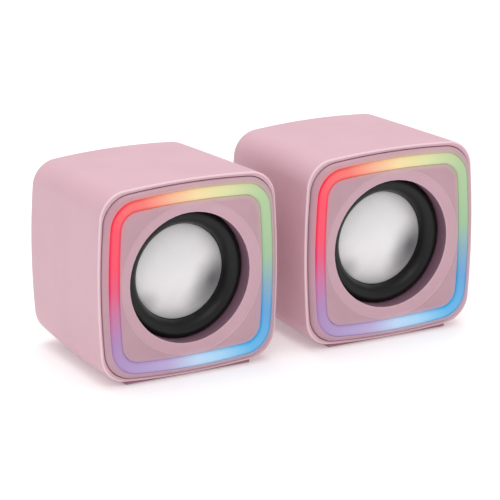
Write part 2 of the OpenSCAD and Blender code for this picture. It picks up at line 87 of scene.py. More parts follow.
def linear(hue: str) -> tuple[float, float, float, float]:
    """Turns an sRGB hex colour into the linear colour that a shader takes.

    Args:
        hue: The colour, such as "#d8b0bc".

    Returns:
        Red, green, blue and an alpha of one.
    """
    channels = [int(hue[i:i + 2], 16) / 255 for i in (1, 3, 5)]
    red, green, blue = (c / 12.92 if c <= 0.04045 else ((c + 0.055) / 1.055) ** 2.4 for c in channels)
    return red, green, blue, 1.0


def per_mm(size: float) -> float:
    """Gives the scale of a pattern on metres whose features measure size millimetres."""
    return 1.0 / (size * MM)


def node(tree: bpy.types.NodeTree, kind: str, inputs: dict[Any, Any] | None = None,
         **settings: Any) -> bpy.types.Node:
    """Adds a shader node with its settings, values and links.

    Args:
        tree: The node tree to add to.
        kind: The node's type, without its "ShaderNode" prefix.
        inputs: Socket name or index to a value, or to an output socket to link from.
        settings: Properties to set on the node itself.

    Returns:
        The new node.
    """
    made = tree.nodes.new("ShaderNode" + kind)
    for key, value in settings.items():
        setattr(made, key, value)
    for key, value in (inputs or {}).items():
        if isinstance(value, bpy.types.NodeSocket):
            tree.links.new(value, made.inputs[key])
        else:
            made.inputs[key].default_value = value
    return made


@dataclass(frozen=True)
class Outline:
    """Rounded rectangle whose sides bulge, in millimetres about the driver's axis."""

    half_w: float
    half_h: float
    corner: float
    bow: float = 1.1
    lift: float = 0.0
    side_steps: int = 12
    corner_steps: int = 20

    def grown(self, by: float, corner: float = 1.0) -> "Outline":
        """Moves the outline outwards.

        Args:
            by: The distance to move, negative for inwards.
            corner: How much the corner radius grows for each millimetre.

        Returns:
            The new outline.
        """
        return replace(self, half_w=self.half_w + by, half_h=self.half_h + by, corner=self.corner + corner * by)

    def points(self) -> list[Point]:
        """Gives the outline's points, from the lower end of its right side round by the top.

        Returns:
            Points as (x, z), the same number for every outline.
        """
        w, h, r, b = self.half_w, self.half_h, self.corner, self.bow
        lean_v, lean_h = math.atan(2 * b / (h - r)), math.atan(2 * b / (w - r))
        cx, cz = w - b - r * math.cos(lean_v), h - b - r * math.cos(lean_h)
        run_v, run_h = cz + r * math.sin(lean_v), cx + r * math.sin(lean_h)
        quarter = math.pi / 2
        found: list[Point] = []
        for turn in range(4):
            upright = turn % 2 == 0
            reach, run = (w, run_v) if upright else (h, run_h)
            near, far = (cx, cz) if upright else (cz, cx)
            first, last = (lean_v, quarter - lean_h) if upright else (lean_h, quarter - lean_v)
            side = [-1 + 2 * i / self.side_steps for i in range(self.side_steps)]
            steps = [first + (last - first) * i / self.corner_steps for i in range(self.corner_steps)]
            local = [(reach - b * t * t, run * t) for t in side]
            local += [(near + r * math.cos(a), far + r * math.sin(a)) for a in steps]
            c, s = round(math.cos(turn * quarter)), round(math.sin(turn * quarter))
            found += [(c * x - s * z, s * x + c * z + self.lift) for x, z in local]
        return found

    def circle(self, radius: float) -> list[Point]:
        """Gives a circle's points at the same bearings as the outline's own points."""
        bearings = [math.atan2(z - self.lift, x) for x, z in self.points()]
        return [(radius * math.cos(a), radius * math.sin(a)) for a in bearings]


@dataclass(frozen=True)
class Stand:
    """Where a speaker stands in the frame."""

    side: Side
    origin: Vector

    @classmethod
    def of(cls, side: Side) -> "Stand":
        """Finds a speaker's driver axis and front rim from the frame.

        Args:
            side: Which speaker.

        Returns:
            The stand, with its origin on the driver's axis in the plane of the front rim.
        """
        low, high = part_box(f"{side.value}_front_bezel")
        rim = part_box(f"{side.value}_shell")[0].y
        return cls(side, Vector(((low.x + high.x) / 2, rim, (low.z + high.z) / 2)))

    @property
    def body(self) -> str:
        """The CAD body that the speaker's fixed pieces ride on."""
        return BODY_OF[self.side]

    @property
    def matrix(self) -> Matrix:
        """Takes millimetres about the driver's axis to metres in the frame."""
        return Matrix.Translation(self.origin) @ Matrix.Scale(MM, 4)

    def name(self, part: str) -> str:
        """Puts the side before a part's name."""
        return f"{self.side.value}_{part}"


class Skin:
    """A bmesh that is drawn out from ring to ring until it closes on itself."""

    def __init__(self) -> None:
        """Starts an empty skin."""
        self.bm = bmesh.new()
        self.away = self.bm.verts.layers.float.new("away")
        self.verts: list[bmesh.types.BMVert] = []
        self.first: tuple[Sequence[Point], float, float | Sequence[float]] | None = None

    def draw_out(self) -> list[bmesh.types.BMVert]:
        """Extrudes the last ring.

        Returns:
            The new ring's vertices, each at the place of the one that it came from.
        """
        last = set(self.verts)
        edges = {edge for vert in last for edge in vert.link_edges if edge.other_vert(vert) in last}
        drawn = bmesh.ops.extrude_edge_only(self.bm, edges=list(edges))["geom"]
        fresh = {item for item in drawn if isinstance(item, bmesh.types.BMVert)}
        return [next(edge.other_vert(vert) for edge in vert.link_edges if edge.other_vert(vert) in fresh)
                for vert in self.verts]

    def ring(self, points: Sequence[Point], y: float, away: float | Sequence[float] = FAR) -> None:
        """Adds a ring of vertices at one depth.

        Args:
            points: The ring's points as (x, z).
            y: Its depth.
            away: How far it is from the lit edge in millimetres, or one distance for each point.
        """
        if self.first is None:
            self.first = (points, y, away)
            self.verts = bmesh.ops.create_circle(self.bm, cap_ends=False, radius=1.0, segments=len(points))["verts"]
        else:
            self.verts = self.draw_out()
        distances = [away] * len(points) if isinstance(away, float) else away
        for vert, (x, z), distance in zip(self.verts, points, distances):
            vert.co = (x, y, z)
            vert[self.away] = distance

    def close(self) -> bmesh.types.BMesh:
        """Draws the last ring out to the first and merges the two.

        Returns:
            The finished bmesh.
        """
        self.ring(*self.first)
        bmesh.ops.remove_doubles(self.bm, verts=self.bm.verts, dist=1e-4)
        self.unwrap()
        return self.bm

    def unwrap(self) -> None:
        """Maps the skin: U is the bearing around the driver's axis, V the millimetres from the lit edge."""
        bearing_map = self.bm.loops.layers.uv.new("run")
        for face in self.bm.faces:
            middle = face.calc_center_median()
            facing = math.atan2(middle.z, middle.x)
            for loop in face.loops:
                turn = math.atan2(loop.vert.co.z, loop.vert.co.x) - facing
                turn = (turn + math.pi) % math.tau - math.pi
                loop[bearing_map].uv = ((facing + turn) / math.tau + 0.5, loop.vert[self.away])


def lathe(profile: Sequence[Point], steps: int = 144) -> bmesh.types.BMesh:
    """Spins a closed profile around the driver's axis.

    Args:
        profile: Points as (radius, depth).
        steps: How many steps make the full turn.

    Returns:
        The turned solid.
    """
    bm = bmesh.new()
    verts = [bm.verts.new((r, y, 0.0)) for r, y in profile]
    edges = [bm.edges.new(pair) for pair in zip(verts, verts[1:] + verts[:1])]
    bmesh.ops.spin(bm, geom=verts + edges, cent=(0, 0, 0), axis=(0, 1, 0), dvec=(0, 0, 0),
                   angle=math.tau, steps=steps, use_merge=True, use_duplicate=False)
    bmesh.ops.remove_doubles(bm, verts=bm.verts, dist=1e-4)
    bmesh.ops.dissolve_degenerate(bm, dist=1e-5, edges=bm.edges)
    on_axis = [edge for edge in bm.edges if not edge.link_faces]
    bmesh.ops.delete(bm, geom=on_axis, context="EDGES")
    return bm


def map_face(bm: bmesh.types.BMesh, radius: float) -> None:
    """Maps a round piece as it is seen along its axis, from -1 to 1 across each way."""
    flat = bm.loops.layers.uv.new("run")
    for face in bm.faces:
        for loop in face.loops:
            loop[flat].uv = (loop.vert.co.x / radius, loop.vert.co.z / radius)


def bar(bm: bmesh.types.BMesh, low: Sequence[float], high: Sequence[float], round_by: float = 0.2) -> None:
    """Adds a block with rounded edges.

    Args:
        bm: The bmesh to add to.
        low: The block's lowest corner.
        high: Its highest corner.
        round_by: The rounding of its edges.
    """
    size = [b - a for a, b in zip(low, high)]
    middle = [(a + b) / 2 for a, b in zip(low, high)]
    place = Matrix.Translation(middle) @ Matrix.Diagonal((*size, 1.0))
    made = bmesh.ops.create_cube(bm, size=1.0, matrix=place)["verts"]
    edges = list({edge for vert in made for edge in vert.link_edges})
    bmesh.ops.bevel(bm, geom=edges, offset=round_by, offset_type="OFFSET", segments=3, profile=0.5,
                    affect="EDGES", material=-1)


# ---------------------------------------------------------------- finishes


@dataclass(frozen=True)
class Finish:
    """A material and the record's slot that it stands for."""

    slot: str
    name: str

    def dress(self, tree: bpy.types.NodeTree, shader: bpy.types.Node) -> None:
        """Sets up the shader.

        Args:
            tree: The material's node tree.
            shader: Its principled shader.
        """
        raise NotImplementedError

    @cached_property
    def material(self) -> bpy.types.Material:
        """The material, built once."""
        made = bpy.data.materials.new(self.name)
        made.use_nodes = True
        self.dress(made.node_tree, made.node_tree.nodes["Principled BSDF"])
        return made


def textured(tree: bpy.types.NodeTree, shader: bpy.types.Node, hue: str, grain_mm: float, depth_mm: float,
             roughness: float, mottle: float, stretch: Sequence[float] = (1.0, 1.0, 1.0)) -> bpy.types.NodeSocket:
    """Gives a surface a fine grain, a slight drift of its colour and an uneven gloss.

    Args:
        tree: The material's node tree.
        shader: Its principled shader.
        hue: The colour.
        grain_mm: The size of the grain.
        depth_mm: The grain's depth.
        roughness: The middle roughness.
        mottle: How much the colour drifts, from 0 to 1.
        stretch: How much the grain is drawn out along each axis.

    Returns:
        The drifting colour.
    """
    place = node(tree, "TexCoord").outputs["Object"]
    grain_place = node(tree, "Mapping", {"Vector": place, "Scale": stretch}).outputs[0]
    grain = node(tree, "TexNoise", {"Vector": grain_place, "Scale": per_mm(grain_mm), "Detail": 4.0,
                                    "Roughness": 0.62})
    drift = node(tree, "TexNoise", {"Vector": place, "Scale": per_mm(DRIFT_MM), "Detail": 2.0})
    base = linear(hue)
    dark = tuple(c * (1 - mottle) for c in base[:3]) + (1.0,)
    light = tuple(min(1.0, c * (1 + mottle)) for c in base[:3]) + (1.0,)
    speck = node(tree, "Math", {0: grain.outputs[0], 1: drift.outputs[0]}, operation="ADD")
    share = node(tree, "MapRange", {0: speck.outputs[0], 1: 0.7, 2: 1.3})
    colour = node(tree, "Mix", {0: share.outputs[0], 6: dark, 7: light}, data_type="RGBA")
    tree.links.new(colour.outputs[2], shader.inputs["Base Color"])
    gloss = node(tree, "MapRange", {0: grain.outputs[0], 1: 0.3, 2: 0.7, 3: roughness - 0.05, 4: roughness + 0.07})
    tree.links.new(gloss.outputs[0], shader.inputs["Roughness"])
    bump = node(tree, "Bump", {"Height": grain.outputs[0], "Strength": 0.6, "Distance": depth_mm * MM})
    tree.links.new(bump.outputs[0], shader.inputs["Normal"])
    return colour.outputs[2]


@dataclass(frozen=True)
class Moulded(Finish):
    """Injection-moulded plastic with a spark-eroded grain: dull, with a faint broken highlight."""

    hue: str
    roughness: float = 0.52
    grain_mm: float = 0.45
    depth_mm: float = 0.012
    mottle: float = 0.03
    ior: float = 1.53
    sheen: float = 0.0

    def dress(self, tree: bpy.types.NodeTree, shader: bpy.types.Node) -> None:
        """Sets up grained plastic."""
        textured(tree, shader, self.hue, self.grain_mm, self.depth_mm, self.roughness, self.mottle)
        shader.inputs["IOR"].default_value = self.ior
        shader.inputs["Sheen Weight"].default_value = self.sheen


@dataclass(frozen=True)
class LightTable(Moulded):
    """Paper lit from below as well as from above, so that shadows on it stay faint."""

    glow: float = 0.2

    def dress(self, tree: bpy.types.NodeTree, shader: bpy.types.Node) -> None:
        """Sets up softly lit paper."""
        super().dress(tree, shader)
        shader.inputs["Emission Color"].default_value = linear("#ffffff")
        shader.inputs["Emission Strength"].default_value = self.glow


@dataclass(frozen=True)
class EdgedPlastic(Moulded):
    """Moulded plastic with a paler front rim, a colour that stands in for the light which a rounded rim catches."""

    rim_hue: str = "#f2dbe2"
    share: float = 0.55

    def dress(self, tree: bpy.types.NodeTree, shader: bpy.types.Node) -> None:
        """Sets up grained plastic with a painted highlight on its rim."""
        plain = textured(tree, shader, self.hue, self.grain_mm, self.depth_mm, self.roughness, self.mottle)
        place = node(tree, "UVMap", uv_map="run")
        split = node(tree, "SeparateXYZ", {0: place.outputs[0]})
        rim = node(tree, "MapRange", {0: split.outputs["Y"], 1: 0.0, 2: 1.0, 3: self.share, 4: 0.0})
        mixed = node(tree, "Mix", {0: rim.outputs[0], 6: plain, 7: linear(self.rim_hue)}, data_type="RGBA")
        tree.links.new(mixed.outputs[2], shader.inputs["Base Color"])
        shader.inputs["IOR"].default_value = self.ior


@dataclass(frozen=True)
class Metal(Finish):
    """Bare or plated metal with fine marks from its making: turned, rolled or ground."""

    hue: str
    roughness: float = 0.3
    grain_mm: float = 0.3
    depth_mm: float = 0.004
    stretch: tuple[float, float, float] = (1.0, 1.0, 1.0)
    mottle: float = 0.05

    def dress(self, tree: bpy.types.NodeTree, shader: bpy.types.Node) -> None:
        """Sets up marked metal."""
        textured(tree, shader, self.hue, self.grain_mm, self.depth_mm, self.roughness, self.mottle, self.stretch)
        shader.inputs["Metallic"].default_value = 1.0


@dataclass(frozen=True)
class ReflectionPaintedMetal(Metal):
    """Satin metal with soft darker patches, which stand in for the dark things that a dome reflects."""

    flake: float = 0.36
    reflection_hue: str = "#606163"
    ragged: float = 0.12
    painted_reflections: tuple[tuple[float, float, float, float], ...] = ((0.72, -0.24, 0.64, 0.86), (0.46, -0.54, 0.54, 0.45),
                                                              (-0.78, -0.54, 0.36, 0.34))

    def dress(self, tree: bpy.types.NodeTree, shader: bpy.types.Node) -> None:
        """Sets up satin metal with its painted reflections, dark patches each given by its place, reach and depth."""
        colour = textured(tree, shader, self.hue, self.grain_mm, self.depth_mm, self.roughness, self.mottle)
        place = node(tree, "UVMap", uv_map="run").outputs[0]
        cloud = node(tree, "TexNoise", {"Vector": place, "Scale": 2.5, "Detail": 3.0, "Roughness": 0.5})
        for x, z, reach, depth in self.painted_reflections:
            gap = node(tree, "VectorMath", {0: place, 1: (x, z, 0.0)}, operation="DISTANCE")
            edge = node(tree, "Math", {0: cloud.outputs[0], 1: self.ragged, 2: gap.outputs["Value"]},
                        operation="MULTIPLY_ADD")
            inner = self.ragged / 2
            share = node(tree, "MapRange", {0: edge.outputs[0], 1: inner, 2: inner + reach, 3: depth, 4: 0.0},
                         interpolation_type="SMOOTHSTEP")
            mixed = node(tree, "Mix", {0: share.outputs[0], 6: colour, 7: linear(self.reflection_hue)}, data_type="RGBA")
            colour = mixed.outputs[2]
        tree.links.new(colour, shader.inputs["Base Color"])
        shader.inputs["Metallic"].default_value = self.flake


# Lights of the ring by their bearing, from the left side round by the bottom, the right and the top.
GLOW = ((0.0, "#e2557a"), (0.045, "#c4719b"), (0.09, "#a983b4"), (0.14, "#ab93c2"), (0.2, "#b7a6d0"),
        (0.26, "#bcd6f2"), (0.31, "#a3d2f2"), (0.36, "#5db2e4"), (0.42, "#5f9fd4"), (0.47, "#84a8b8"),
        (0.52, "#9cbd98"), (0.62, "#afc79a"), (0.68, "#d9dba6"), (0.74, "#f2d9a2"), (0.79, "#f3b594"),
        (0.84, "#f3766f"), (0.9, "#f94c62"), (0.96, "#f34a64"), (1.0, "#e2557a"))


def glow_ramp(tree: bpy.types.NodeTree) -> tuple[bpy.types.NodeSocket, bpy.types.NodeSocket]:
    """Adds the ring's run of colours, by the piece's own map.

    Args:
        tree: The material's node tree.

    Returns:
        The colour at each bearing, and the place across the lit edge.
    """
    place = node(tree, "UVMap", uv_map="run")
    split = node(tree, "SeparateXYZ", {0: place.outputs[0]})
    ramp = node(tree, "ValToRGB", {0: split.outputs["X"]})
    stops = ramp.color_ramp.elements
    for index, (at, hue) in enumerate(GLOW):
        stop = stops[0] if index == 0 else (stops[-1] if index == len(GLOW) - 1 else stops.new(at))
        stop.position = at
        stop.color = linear(hue)
    return ramp.outputs[0], split.outputs["Y"]


@dataclass(frozen=True)
class LitAcrylic(Finish):
    """Milky acrylic over coloured LEDs: pale along its crown, deeper at its two edges, satin gloss."""

    strength: float = 0.62
    edge_saturation: float = 1.14
    edge_value: float = 0.95
    crown_from_mm: float = 1.2
    unlit_value: float = 0.4
    roughness: float = 0.38
    ior: float = 1.49

    def dress(self, tree: bpy.types.NodeTree, shader: bpy.types.Node) -> None:
        """Sets up the lit diffuser."""
        colour, across = glow_ramp(tree)
        deep = node(tree, "HueSaturation", {"Color": colour, "Saturation": self.edge_saturation,
                                            "Value": self.edge_value})
        crown = node(tree, "MapRange", {0: across, 1: 0.0, 2: self.crown_from_mm}, interpolation_type="SMOOTHSTEP")
        lit = node(tree, "Mix", {0: crown.outputs[0], 6: deep.outputs[0], 7: colour}, data_type="RGBA")
        dim = node(tree, "HueSaturation", {"Color": lit.outputs[2], "Value": self.unlit_value})
        tree.links.new(dim.outputs[0], shader.inputs["Base Color"])
        tree.links.new(lit.outputs[2], shader.inputs["Emission Color"])
        shader.inputs["Emission Strength"].default_value = self.strength
        shader.inputs["Roughness"].default_value = self.roughness
        shader.inputs["IOR"].default_value = self.ior


@dataclass(frozen=True)
class GlowingPlastic(Moulded):
    """Grained plastic next to the light ring, with the ring's light painted on its edge: a painted wash of the ring's
    colours and a faint painted glow.
    """

    painted_spill: float = 0.22
    reach_mm: float = 2.5
    glow: float = 0.1

    def dress(self, tree: bpy.types.NodeTree, shader: bpy.types.Node) -> None:
        """Sets up grained plastic with a painted wash of the ring's light."""
        plain = textured(tree, shader, self.hue, self.grain_mm, self.depth_mm, self.roughness, self.mottle)
        colour, across = glow_ramp(tree)
        # Painted spill of the ring's light: its colours mixed into the plastic's colour and faintly emitted, fading
        # within reach_mm of the lit edge
        near = node(tree, "MapRange", {0: across, 1: 0.0, 2: self.reach_mm, 3: self.painted_spill, 4: 0.0},
                    interpolation_type="SMOOTHSTEP")
        mixed = node(tree, "Mix", {0: near.outputs[0], 6: plain, 7: colour}, data_type="RGBA")
        tree.links.new(mixed.outputs[2], shader.inputs["Base Color"])
        glow = node(tree, "Mix", {0: near.outputs[0], 6: (0, 0, 0, 1), 7: colour}, data_type="RGBA")
        tree.links.new(glow.outputs[2], shader.inputs["Emission Color"])
        shader.inputs["Emission Strength"].default_value = self.glow
        shader.inputs["IOR"].default_value = self.ior


# Injection-moulded ABS in pale pink: matt, with a soft wide highlight on its rounded edges, painted as a paler colour
# along the front rim
PINK_ABS = EdgedPlastic("cabinet_plastic", "pink ABS, fine matt", "#d2a9b4", roughness=0.48)
# The same ABS from a more deeply etched tool, with a fine sparkle of grain; its mauve, darker than the cabinet's
# pink, is painted shade for a front that gets less light than the sides, and the ring's light is painted on its edge
MAUVE_ABS = GlowingPlastic("front_plastic", "mauve ABS, etched grain", "#b8929d", 0.56, 0.5, 0.02, 0.07)
# The dish's smoother face in the same panel: a shade paler than the panel around it, with the same painted spill of
# the ring's light
DISH_ABS = GlowingPlastic("front_plastic", "mauve ABS, dish", "#c39ca8", 0.48, 0.5, 0.008, 0.04)
# The same ABS on the bore's wall: plum, a colour that stands in for how little light gets in there
BORE_ABS = Moulded("front_plastic", "plum ABS, bore", "#826071", 0.5, 0.4, 0.01, 0.05)
# The knob's plain version of it, away from the light ring
KNOB_ABS = Moulded("front_plastic", "mauve ABS, knob", "#c39aa8", roughness=0.5)
# The same ABS for the rails of the feet, in a darker plum: painted shade for rails that sit in the shade under the
# cabinet
MAUVE_RAIL = Moulded("cabinet_plastic", "mauve ABS, foot rail", "#a27182", roughness=0.55)
# Rear cover ABS: a coarser grain that hides scratches
REAR_ABS = Moulded("rear_plastic", "pink ABS, coarse grain", "#c99fae", 0.6, 0.7, 0.03, 0.05)
# Button ABS, paler and a little smoother than the panel around it
BUTTON_ABS = Moulded("button_plastic", "pale ABS, smooth", "#e9dfe3", roughness=0.4, depth_mm=0.006)
# Opal acrylic light guide
OPAL_ACRYLIC = LitAcrylic("diffuser", "opal acrylic, lit")
# EVA rubber: dead matt and almost black
GRIP_RUBBER = Moulded("grip_rubber", "EVA rubber, matt", "#3c3336", 0.85, 0.6, 0.04, 0.1)
# Butyl rubber of the surround: black, with a soft satin light along its roll
BUTYL = Moulded("surround_rubber", "butyl rubber, satin", "#0f0f10", 0.4, 0.4, 0.005, 0.08, ior=1.36)
# Aluminium flake lacquer sprayed on a pressed sheet: silver, with a fine grit and no sharp reflections, and painted
# dark reflections in soft patches towards its lower right and lower left
SILVER_LACQUER = ReflectionPaintedMetal("cap_aluminium", "aluminium flake lacquer, sprayed", "#e6e4e5", 0.46, 0.32, 0.006,
                              mottle=0.06)
# The same ABS on the panel's two circles: paler, in place of the light that their small roundings catch
EDGE_ABS = Moulded("front_plastic", "mauve ABS, painted edge highlight", "#c9a6b1", 0.4, 0.5, 0.004, 0.02)

# Seamless paper on a light table: dead matt, white, with a faint tooth
PAPER = LightTable("", "light table, seamless paper", "#f4f3f3", 0.9, 1.2, 0.01, 0.004)

HIDDEN_FINISHES: tuple[Finish, ...] = (
    # Black oxide on steel screws: dark with a low sheen
    Metal("blackened_steel", "steel, black oxide", "#3b393c", 0.45),
    # White solder mask: smooth, a little glossy
    Moulded("white_board", "glass-fibre board, white mask", "#ecebe4", 0.32, 0.5, 0.004),
    # Clear epoxy over phosphor: yellow and glossy
    Moulded("led_resin", "LED resin, yellow phosphor", "#f3dd8e", 0.15, 1.0, 0.002),
    # Closed-cell foam: soft black with open pores
    Moulded("foam", "closed-cell foam", "#2b2729", 0.95, 0.4, 0.08, 0.2),
    # Zinc plating on pressed steel: bluish and cloudy
    Metal("pressed_steel", "zinc-plated steel, pressed", "#9a9ea6", 0.38, 3.0, 0.003, mottle=0.12),
    # Paper pulp with a black coating: fibrous and dull
    Moulded("paper_cone", "coated paper pulp", "#363235", 0.85, 0.5, 0.05, 0.25),
    # Enamelled copper wire, wound: fine glossy threads around the coil
    Metal("coil_copper", "enamelled copper wire", "#c47a43", 0.25, 0.3, 0.02, (0.1, 1.0, 0.1)),
    # Cotton cloth stiffened with phenolic resin: amber weave
    Moulded("spider_cloth", "phenolic cloth", "#c8a25a", 0.75, 0.5, 0.06, 0.2),
    # Mild steel, faced on a lathe: bright with fine rings
    Metal("plate_steel", "mild steel, turned", "#b3b5b8", 0.3, 0.3, 0.006, (1.0, 0.1, 1.0)),
    # Sintered ferrite, ground: dark grey and slightly rough
    Moulded("ferrite", "sintered ferrite, ground", "#37363b", 0.55, 0.8, 0.02, 0.15),
    # Pressed phenolic paper: brown with pale fibres
    Moulded("fibre_board", "phenolic paper board", "#a98550", 0.7, 0.6, 0.02, 0.15),
    # Nickel plating: warm and bright
    Metal("plated_steel", "steel, nickel-plated", "#cfccc4", 0.22, 0.6, 0.002),
    # Soft PVC: smooth with a waxy gloss
    Moulded("lead_pvc", "PVC insulation", "#b3262b", 0.35, 1.0, 0.003),
    # Glass-filled nylon: black with a faint glass streak
    Moulded("socket_nylon", "glass-filled nylon", "#2a2a2e", 0.5, 0.4, 0.01, 0.12),
    # Green solder mask over copper: glossy
    Moulded("green_board", "glass-fibre board, green mask", "#2e6b3f", 0.28, 2.0, 0.01, 0.18),
    # Black moulding compound: matt with fine pits
    Moulded("chip_epoxy", "epoxy moulding compound", "#26262a", 0.6, 0.3, 0.02, 0.1),
    # Extruded aluminium: silver with die lines along its fins
    Metal("sink_aluminium", "aluminium, extruded", "#c2c5c9", 0.35, 0.4, 0.01, (1.0, 1.0, 0.05)),
    # Shrunk plastic sleeve on an aluminium can: blue-grey and smooth
    Moulded("capacitor_can", "sleeved aluminium can", "#4a5070", 0.3, 1.5, 0.003),
)

FINISH_OF = {finish.slot: finish for finish in (PINK_ABS, MAUVE_ABS, REAR_ABS, BUTTON_ABS, OPAL_ACRYLIC, GRIP_RUBBER,
                                                BUTYL, SILVER_LACQUER, *HIDDEN_FINISHES)}


# ---------------------------------------------------------------- placing pieces


def settle(bm: bmesh.types.BMesh, stand: Stand, part: str, finish: Finish, replaced: Iterable[str],
           body: str | None = "", sharp: float = 38.0) -> bpy.types.Object:
    """Turns a bmesh into a finished piece in its place in the frame.

    Args:
        bm: The shape, in millimetres about the driver's axis. It is used up.
        stand: The speaker that it belongs to.
        part: The piece's name, without its side.
        finish: Its finish.
        replaced: The CAD parts that it stands for, without their side.
        body: The body that it rides on, empty for the speaker's own, or None for a piece that is left unattached.
        sharp: The angle in degrees above which an edge stays sharp.

    Returns:
        The piece.
    """
    bmesh.ops.remove_doubles(bm, verts=bm.verts, dist=1e-4)
    bmesh.ops.recalc_face_normals(bm, faces=bm.faces)
    bm.transform(stand.matrix)
    mesh = bpy.data.meshes.new(stand.name(part))
    bm.to_mesh(mesh)
    bm.free()
    rides_on = stand.body if body == "" else body
    return present(mesh, stand.name(part), finish, [stand.name(cad) for cad in replaced], rides_on, sharp)


def present(mesh: bpy.types.Mesh, name: str, finish: Finish, replaced: Sequence[str], body: str | None,
            sharp: float) -> bpy.types.Object:
    """Shows a mesh as a piece that rides on a body and stands for CAD nodes.

    Args:
        mesh: The finished mesh, in the frame's metres.
        name: The piece's full name.
        finish: Its finish.
        replaced: Full names of the CAD nodes that it stands for.
        body: The body that it rides on, or None for a piece that is left unattached.
        sharp: The angle in degrees above which an edge stays sharp.

    Returns:
        The piece.
    """
    mesh.shade_smooth()
    mesh.set_sharp_from_angle(angle=math.radians(sharp))
    mesh.materials.append(finish.material)
    piece = bpy.data.objects.new(name, mesh)
    bpy.context.scene.collection.objects.link(piece)
    if body:
        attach(piece, body)
    if replaced:
        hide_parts(*replaced)
    LOG.info("%s: %d faces, %s", name, len(mesh.polygons), finish.name)
    return piece


def soften(source: str, name: str, finish: Finish, body: str, width: float = 0.15,
           segments: int = 2) -> bpy.types.Object:
    """Copies a CAD node, welds its triangles at their shared corners and rounds its edges.

    Args:
        source: The CAD node, which the copy stands for.
        name: The copy's name.
        finish: Its finish.
        body: The body that it rides on.
        width: Width of the rounding in millimetres.
        segments: Segments across the rounding.

    Returns:
        The piece.
    """
    bm = bmesh.new()
    bm.from_mesh(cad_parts[source].data)
    bmesh.ops.remove_doubles(bm, verts=bm.verts, dist=2e-6)
    bmesh.ops.dissolve_degenerate(bm, dist=1e-6, edges=bm.edges)
    mesh = bpy.data.meshes.new(name)
    bm.to_mesh(mesh)
    bm.free()
    piece = present(mesh, name, finish, [source], body, CREASE)
    for face in mesh.polygons:
        face.use_smooth = abs(face.normal.y) < 0.999
    rounding = piece.modifiers.new("rounding", "BEVEL")
    rounding.width = width * MM
    rounding.segments = segments
    rounding.limit_method = "ANGLE"
    rounding.angle_limit = math.radians(CREASE)
    rounding.harden_normals = True
    return piece


def front_outline(half: float, corner: float) -> Outline:
    """Gives one outline of the front, a little wider than high and bowed in proportion."""
    return Outline(half, half - 0.2, corner, 1.1 * half / 38.45)


# ---------------------------------------------------------------- sub-assemblies


@dataclass(frozen=True)
class Cabinet:
    """Moulded shell of one speaker and the feet under it."""

    stand: Stand
    width: float = 79.3
    depth: float = 66.7
    roof: float = 39.7
    belly: float = 39.4
    edge: float = 11.6
    side_taper: float = 2.5
    roof_taper: float = 2.5
    belly_taper: float = 2.65
    belly_fall: float = 1.9
    rim_round: float = 1.0
    rear_round: float = 4.4
    wall: float = 2.6
    ledge: float = 6.25
    mouth: Outline = front_outline(38.45, 12.3)
    recess: Outline = Outline(31.6, 31.4, 8.0, 0.6, 0.225)
    recess_y: float = 63.7
    recess_seat: float = 2.9
    cavity_end: float = 61.1
    front_foot: tuple[float, float, float, float] = (27.5, 1.3, 10.0, 1.3)
    rear_foot: tuple[float, float, float, float] = (24.0, 50.0, 58.0, 4.0)
    ground: float = -40.0
    grip: float = 0.2
    grip_inset: float = 0.8

    def section(self, y: float, inset: float) -> Outline:
        """Gives the cabinet's outline at a depth.

        Args:
            y: The depth behind the rim.
            inset: How far the outline is moved in.

        Returns:
            The outline.
        """
        t = y / self.depth
        side = self.width / 2 - self.side_taper * (1.17 * t - 0.17 * t * t) - inset
        roof = self.roof - self.roof_taper * (0.75 * t + 0.25 * t * t) - inset
        belly = self.belly + self.belly_fall * t - (self.belly_fall + self.belly_taper) * t * t - inset
        return Outline(side, (roof + belly) / 2, self.edge - 0.8 * t - 0.7 * inset, lift=(roof - belly) / 2)

    def shell(self) -> bpy.types.Object:
        """Builds the shell: mouth, rounded rim, swelling sides, rounded rear, recess and cavity."""
        skin = Skin()
        skin.ring(self.mouth.points(), self.ledge)
        skin.ring(self.mouth.points(), 0.12)
        skin.ring(self.mouth.grown(0.06).points(), 0.02)
        for step in range(9):
            turn = math.radians(90) * step / 8
            y = self.rim_round * (1 - math.cos(turn))
            # Painted highlight: the middle steps of the rim's rounding sit at distance 0, where the paler rim colour
            # is strongest
            highlight_away = 0.0 if 2 <= step <= 6 else FAR
            skin.ring(self.section(y, self.rim_round * (1 - math.sin(turn))).points(), y, highlight_away)
        reach = self.depth - self.rear_round - self.rim_round
        for step in range(1, 13):
            y = self.rim_round + reach * step / 12
            skin.ring(self.section(y, 0).points(), y)
        for step in range(1, 11):
            turn = math.radians(90) * step / 10
            y = self.depth - self.rear_round * (1 - math.sin(turn))
            skin.ring(self.section(y, self.rear_round * (1 - math.cos(turn))).points(), y)
        for grow, sink in ((0.25, 0.0), (0.07, 0.07), (0.0, 0.25)):
            skin.ring(self.recess.grown(grow).points(), self.depth - sink)
        seat = self.recess.grown(-self.recess_seat, 0.0)
        skin.ring(self.recess.points(), self.recess_y)
        skin.ring(seat.points(), self.recess_y)
        skin.ring(seat.points(), self.cavity_end)
        for y in (self.cavity_end, 45.0, 25.0, self.ledge):
            skin.ring(self.section(y, self.wall).points(), y)
        return settle(skin.close(), self.stand, "cabinet", PINK_ABS, ["shell"])

    def feet(self) -> list[bpy.types.Object]:
        """Builds the two foot rails and the dark grip tape under them."""
        rails, tapes = bmesh.new(), bmesh.new()
        sole, gap = self.ground + self.grip, self.grip_inset
        for half, near, far, top in (self.front_foot, self.rear_foot):
            bar(rails, (-half, near, sole), (half, far, self.ground + top), 0.15)
            bar(tapes, (-half + gap, near + gap, self.ground), (half - gap, far - gap, sole + 0.1), 0.08)
        return [settle(rails, self.stand, "foot_rails", MAUVE_RAIL, ["foot_strips"]),
                settle(tapes, self.stand, "grip_tape", GRIP_RUBBER, ["grip_pads"])]


